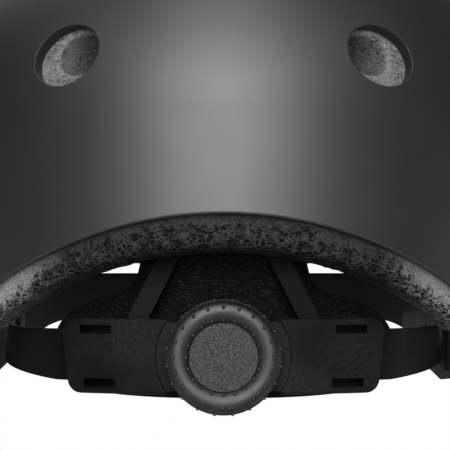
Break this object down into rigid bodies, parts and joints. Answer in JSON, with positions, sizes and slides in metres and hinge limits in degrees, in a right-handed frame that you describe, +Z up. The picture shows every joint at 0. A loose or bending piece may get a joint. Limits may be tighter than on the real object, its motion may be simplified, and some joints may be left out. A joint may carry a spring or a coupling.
{
  "type": "skateboard helmet",
  "caption": "Hard-shell skate helmet with foam liner, vents, a dial-adjusted cradle behind the head, comfort pads and a buckled chin strap.",
  "frame": {"origin": "middle of the head: on the plane of symmetry, level with the middle of the shell's rear edge", "axes": "+X to the wearer's right, +Y the way the wearer looks, +Z up out of the crown"},
  "size_m": [0.22, 0.254, 0.2014],
  "materials": {
    "shell_plastic": "satin, fine moulded texture",
    "liner_foam": "expanded beads, matt",
    "pad_fabric": "brushed knit",
    "hook_tape": "hook tape",
    "frame_plastic": "smooth moulded",
    "cover_plastic": "smooth moulded, satin",
    "dial_plastic": "smooth moulded, satin",
    "cap_plastic": "fine spark-eroded texture",
    "gear_plastic": "natural acetal",
    "steel": "bright",
    "black_metal": "black oxide",
    "webbing": "woven",
    "buckle_plastic": "moulded"
  },
  "bodies": {
    "helmet": {"outer_shell": "shell_plastic", "foam_liner": "liner_foam", "brow_pad": "pad_fabric", "left_side_pad": "pad_fabric", "right_side_pad": "pad_fabric", "crown_pad": "pad_fabric", "hook_dots": "hook_tape", "left_strut": "frame_plastic", "right_strut": "frame_plastic", "strut_pins": "frame_plastic", "strut_sockets": "frame_plastic", "strap_rivets": "black_metal", "left_front_leg": "webbing", "left_rear_leg": "webbing", "right_front_leg": "webbing", "right_rear_leg": "webbing", "left_divider": "buckle_plastic", "right_divider": "buckle_plastic", "strap_pivots": "black_metal", "cradle_housing": "frame_plastic", "cradle_back_plate": "frame_plastic", "housing_screws": "steel", "left_cover_plate": "cover_plastic", "right_cover_plate": "cover_plastic", "click_ring": "gear_plastic", "nape_pad": "pad_fabric"},
    "dial": {"dial_grip_ring": "dial_plastic", "dial_cap": "cap_plastic", "drive_pinion": "gear_plastic", "spindle_screw": "steel", "click_spring": "gear_plastic"},
    "left_arm": {"left_cradle_arm": "frame_plastic"},
    "right_arm": {"right_cradle_arm": "frame_plastic"},
    "chin_loop": {"loop_webbing": "webbing", "buckle_webbing": "webbing", "buckle_socket": "buckle_plastic", "buckle_plug": "buckle_plastic", "chin_pad": "pad_fabric", "strap_keeper": "buckle_plastic"},
    "upper_tab": {"upper_release_tab": "buckle_plastic"},
    "lower_tab": {"lower_release_tab": "buckle_plastic"}
  },
  "joints": [
    {"name": "dial_turn", "type": "hinge", "parent": "helmet", "child": "dial", "pos_m": [0, -0.085, -0.0454], "axis": [0, 0.9914, 0.1305], "range_deg": [0, 210]},
    {"name": "left_arm_slide", "type": "hinge", "parent": "helmet", "child": "left_arm", "pos_m": [0, -0.00568, -0.03496], "axis": [0, -0.1305, 0.9914], "range_deg": [0, 15.75]},
    {"name": "right_arm_slide", "type": "hinge", "parent": "helmet", "child": "right_arm", "pos_m": [0, -0.00568, -0.03496], "axis": [0, 0.1305, -0.9914], "range_deg": [0, 15.75]},
    {"name": "chin_loop_swing", "type": "hinge", "parent": "helmet", "child": "chin_loop", "pos_m": [0, 0.002, -0.045], "axis": [-1, 0, 0], "range_deg": [0, 115]},
    {"name": "upper_tab_press", "type": "hinge", "parent": "chin_loop", "child": "upper_tab", "pos_m": [0.08235, 0.04266, -0.01554], "axis": [-0.9612, -0.2499, -0.1166], "range_deg": [0, 5], "stiffness_Nm_per_rad": 0.5},
    {"name": "lower_tab_press", "type": "hinge", "parent": "chin_loop", "child": "lower_tab", "pos_m": [0.08235, 0.05069, -0.03276], "axis": [0.9612, 0.2499, 0.1166], "range_deg": [0, 5], "stiffness_Nm_per_rad": 0.5}
  ],
  "couplings": [
    {"joint": "left_arm_slide", "follows": "dial_turn", "ratio": 0.075},
    {"joint": "right_arm_slide", "follows": "dial_turn", "ratio": 0.075}
  ]
}
